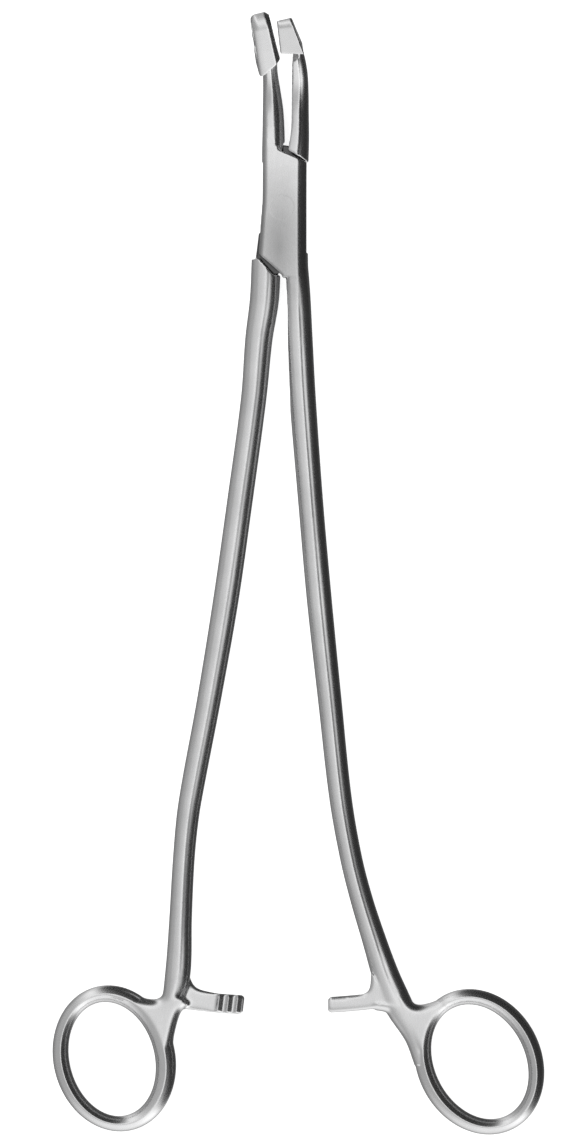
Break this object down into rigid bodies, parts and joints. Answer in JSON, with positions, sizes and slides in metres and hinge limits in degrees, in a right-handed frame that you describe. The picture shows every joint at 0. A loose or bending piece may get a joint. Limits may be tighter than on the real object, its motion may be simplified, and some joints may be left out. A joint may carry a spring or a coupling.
{
  "type": "uterine biopsy forceps",
  "caption": "Long box-lock biopsy forceps with finger rings, a ratchet and bent jaws: a fenestrated basket and a hollow punch that closes into it.",
  "frame": {"origin": "on the pivot axis at the flat back face of the box lock, where the instrument rests on a table", "axes": "+Y towards the jaws along the instrument, +X to the right when the instrument lies on its back, +Z from the back face to the front face, which is also the way the jaws bend"},
  "size_m": [0.1058, 0.241, 0.0152],
  "materials": {
    "satin_steel": "satin",
    "satin_steel_punch": "satin",
    "pin_steel": "polished"
  },
  "bodies": {
    "basket_half_body": {"basket_half": "satin_steel", "pivot_pin": "pin_steel"},
    "punch_half_body": {"punch_half": "satin_steel_punch"}
  },
  "joints": [
    {"name": "box_lock_pivot", "type": "hinge", "parent": "basket_half_body", "child": "punch_half_body", "pos_m": [0, 0, 0], "axis": [0, 0, -1], "range_deg": [-7, 38]}
  ]
}
